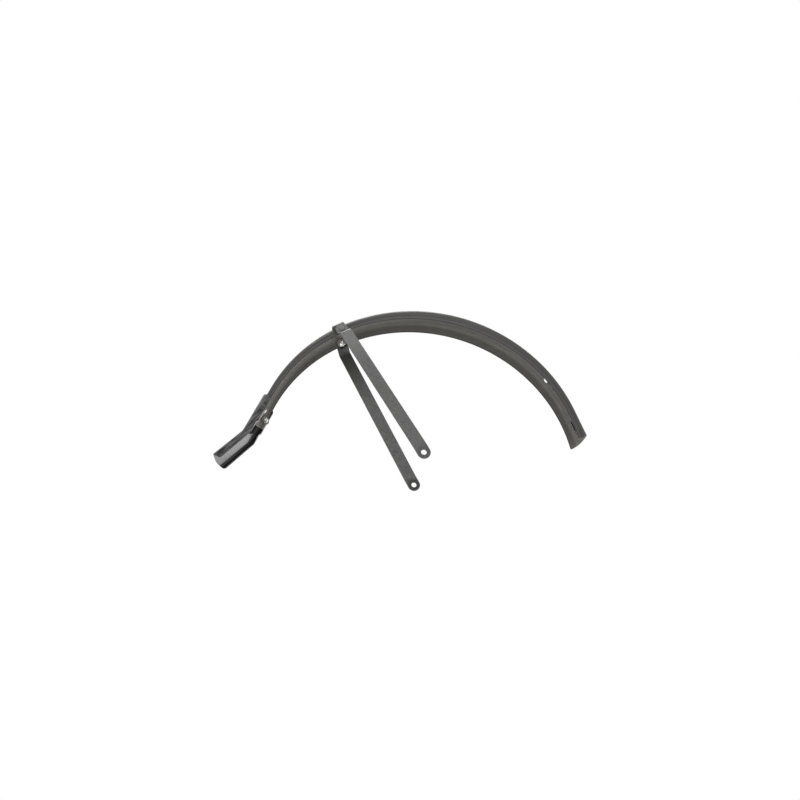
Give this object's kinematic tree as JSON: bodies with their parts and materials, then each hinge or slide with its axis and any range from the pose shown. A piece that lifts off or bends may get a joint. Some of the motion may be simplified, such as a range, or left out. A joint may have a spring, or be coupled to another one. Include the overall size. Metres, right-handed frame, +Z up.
{
  "type": "bicycle mudguard",
  "caption": "Arched sheet-steel bicycle mudguard with folded hems, a strap, flat stays with axle eyelets, and a moulded flap sleeved on its tail.",
  "frame": {"origin": "on the wheel axle, midway between the two stay eyelets", "axes": "+Y along the axle, +Z up, +X towards the plain tip of the blade, away from the flap"},
  "size_m": [0.6956, 0.1596, 0.3559],
  "materials": {
    "blade_paint": "satin dark grey paint",
    "stay_paint": "satin grey paint",
    "zinc": "bright zinc plate",
    "flap_plastic": "glossy black moulding"
  },
  "bodies": {
    "root": {"mudguard_blade": "blade_paint", "stay_strap": "blade_paint", "left_stay": "stay_paint", "right_stay": "stay_paint", "left_stay_bolt": "stay_paint", "right_stay_bolt": "stay_paint", "left_stay_washer": "zinc", "right_stay_washer": "zinc", "left_stay_nut": "zinc", "right_stay_nut": "zinc", "mud_flap": "flap_plastic", "left_flap_bolt": "flap_plastic", "right_flap_bolt": "flap_plastic", "left_flap_washer": "zinc", "right_flap_washer": "zinc", "left_flap_nut": "zinc", "right_flap_nut": "zinc"}
  },
  "joints": []
}
